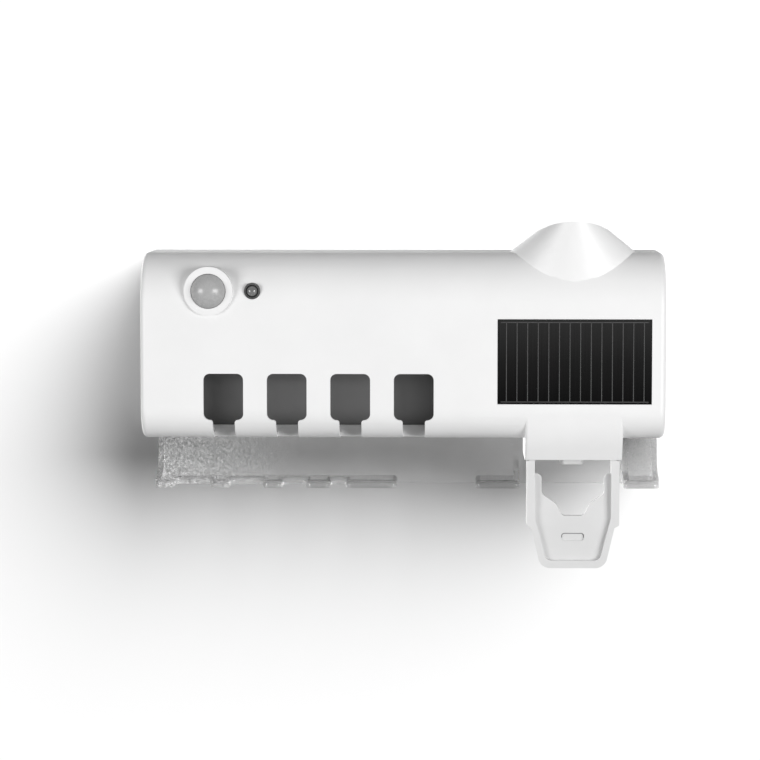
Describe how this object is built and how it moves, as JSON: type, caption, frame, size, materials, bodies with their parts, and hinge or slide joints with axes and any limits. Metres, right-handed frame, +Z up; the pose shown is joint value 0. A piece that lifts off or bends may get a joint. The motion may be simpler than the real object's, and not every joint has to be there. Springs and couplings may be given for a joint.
{
  "type": "toothpaste dispenser",
  "caption": "Wall-hung toothpaste dispenser with a push lever under its spout, a brush chamber with open slots, a motion sensor, a solar panel and a clear bracket with a slotted shelf.",
  "frame": {"origin": "on the wall behind the middle of the housing, on the rear face of the adhesive pads", "axes": "+X to the right seen from the front, +Y into the wall, +Z up"},
  "size_m": [0.22, 0.0618, 0.1469],
  "materials": {
    "white_plastic": "smooth white moulding",
    "clear_plastic": "clear moulding",
    "foam_tape": "matte foam",
    "dark_plastic": "matte dark grey",
    "circuit_board": "green lacquer",
    "lamp": "clear tinted",
    "milky_plastic": "milky",
    "indicator": "dark glossy",
    "solar_glass": "glossy dark",
    "steel": "bright steel",
    "cell_wrap": "wrapped can",
    "soft_rubber": "soft translucent rubber",
    "grey_plastic": "matte grey"
  },
  "bodies": {
    "wall_rack": {"wall_bracket": "clear_plastic", "adhesive_pads": "foam_tape"},
    "housing": {"front_shell": "white_plastic", "back_cover": "white_plastic", "cover_screws": "steel", "uv_liner": "dark_plastic", "uv_board": "circuit_board", "uv_leds": "lamp", "control_board": "circuit_board", "board_screws": "steel", "pir_lens": "milky_plastic", "pir_sensor": "steel", "status_led": "indicator", "led_bezel": "dark_plastic", "charge_port": "steel", "solar_panel": "solar_glass", "battery_cell": "cell_wrap", "battery_cradle": "grey_plastic", "pump_body": "grey_plastic", "pump_screws": "steel", "tube_funnel": "white_plastic", "tube_adapter": "soft_rubber", "inlet_valve": "soft_rubber", "outlet_valve": "soft_rubber", "nozzle": "white_plastic", "piston_cap": "white_plastic", "return_spring": "steel", "lever_pin": "steel"},
    "lever": {"push_lever": "white_plastic"},
    "plunger": {"piston": "white_plastic", "piston_seal": "soft_rubber"}
  },
  "joints": [
    {"name": "unit_lift", "type": "slide", "parent": "wall_rack", "child": "housing", "axis": [0, 0, 1], "range_m": [0, 0.0083]},
    {"name": "lever_push", "type": "hinge", "parent": "housing", "child": "lever", "pos_m": [0.0718, -0.034, -0.024], "axis": [1, 0, 0], "range_deg": [0, 16], "stiffness_Nm_per_rad": 0.6, "springref_deg": -8.59},
    {"name": "piston_slide", "type": "slide", "parent": "housing", "child": "plunger", "axis": [0, 1, 0], "range_m": [0, 0.00357], "deforming": ["return_spring"]}
  ],
  "couplings": [
    {"joint": "piston_slide", "follows": "lever_push", "m_per_rad": 0.01278}
  ]
}
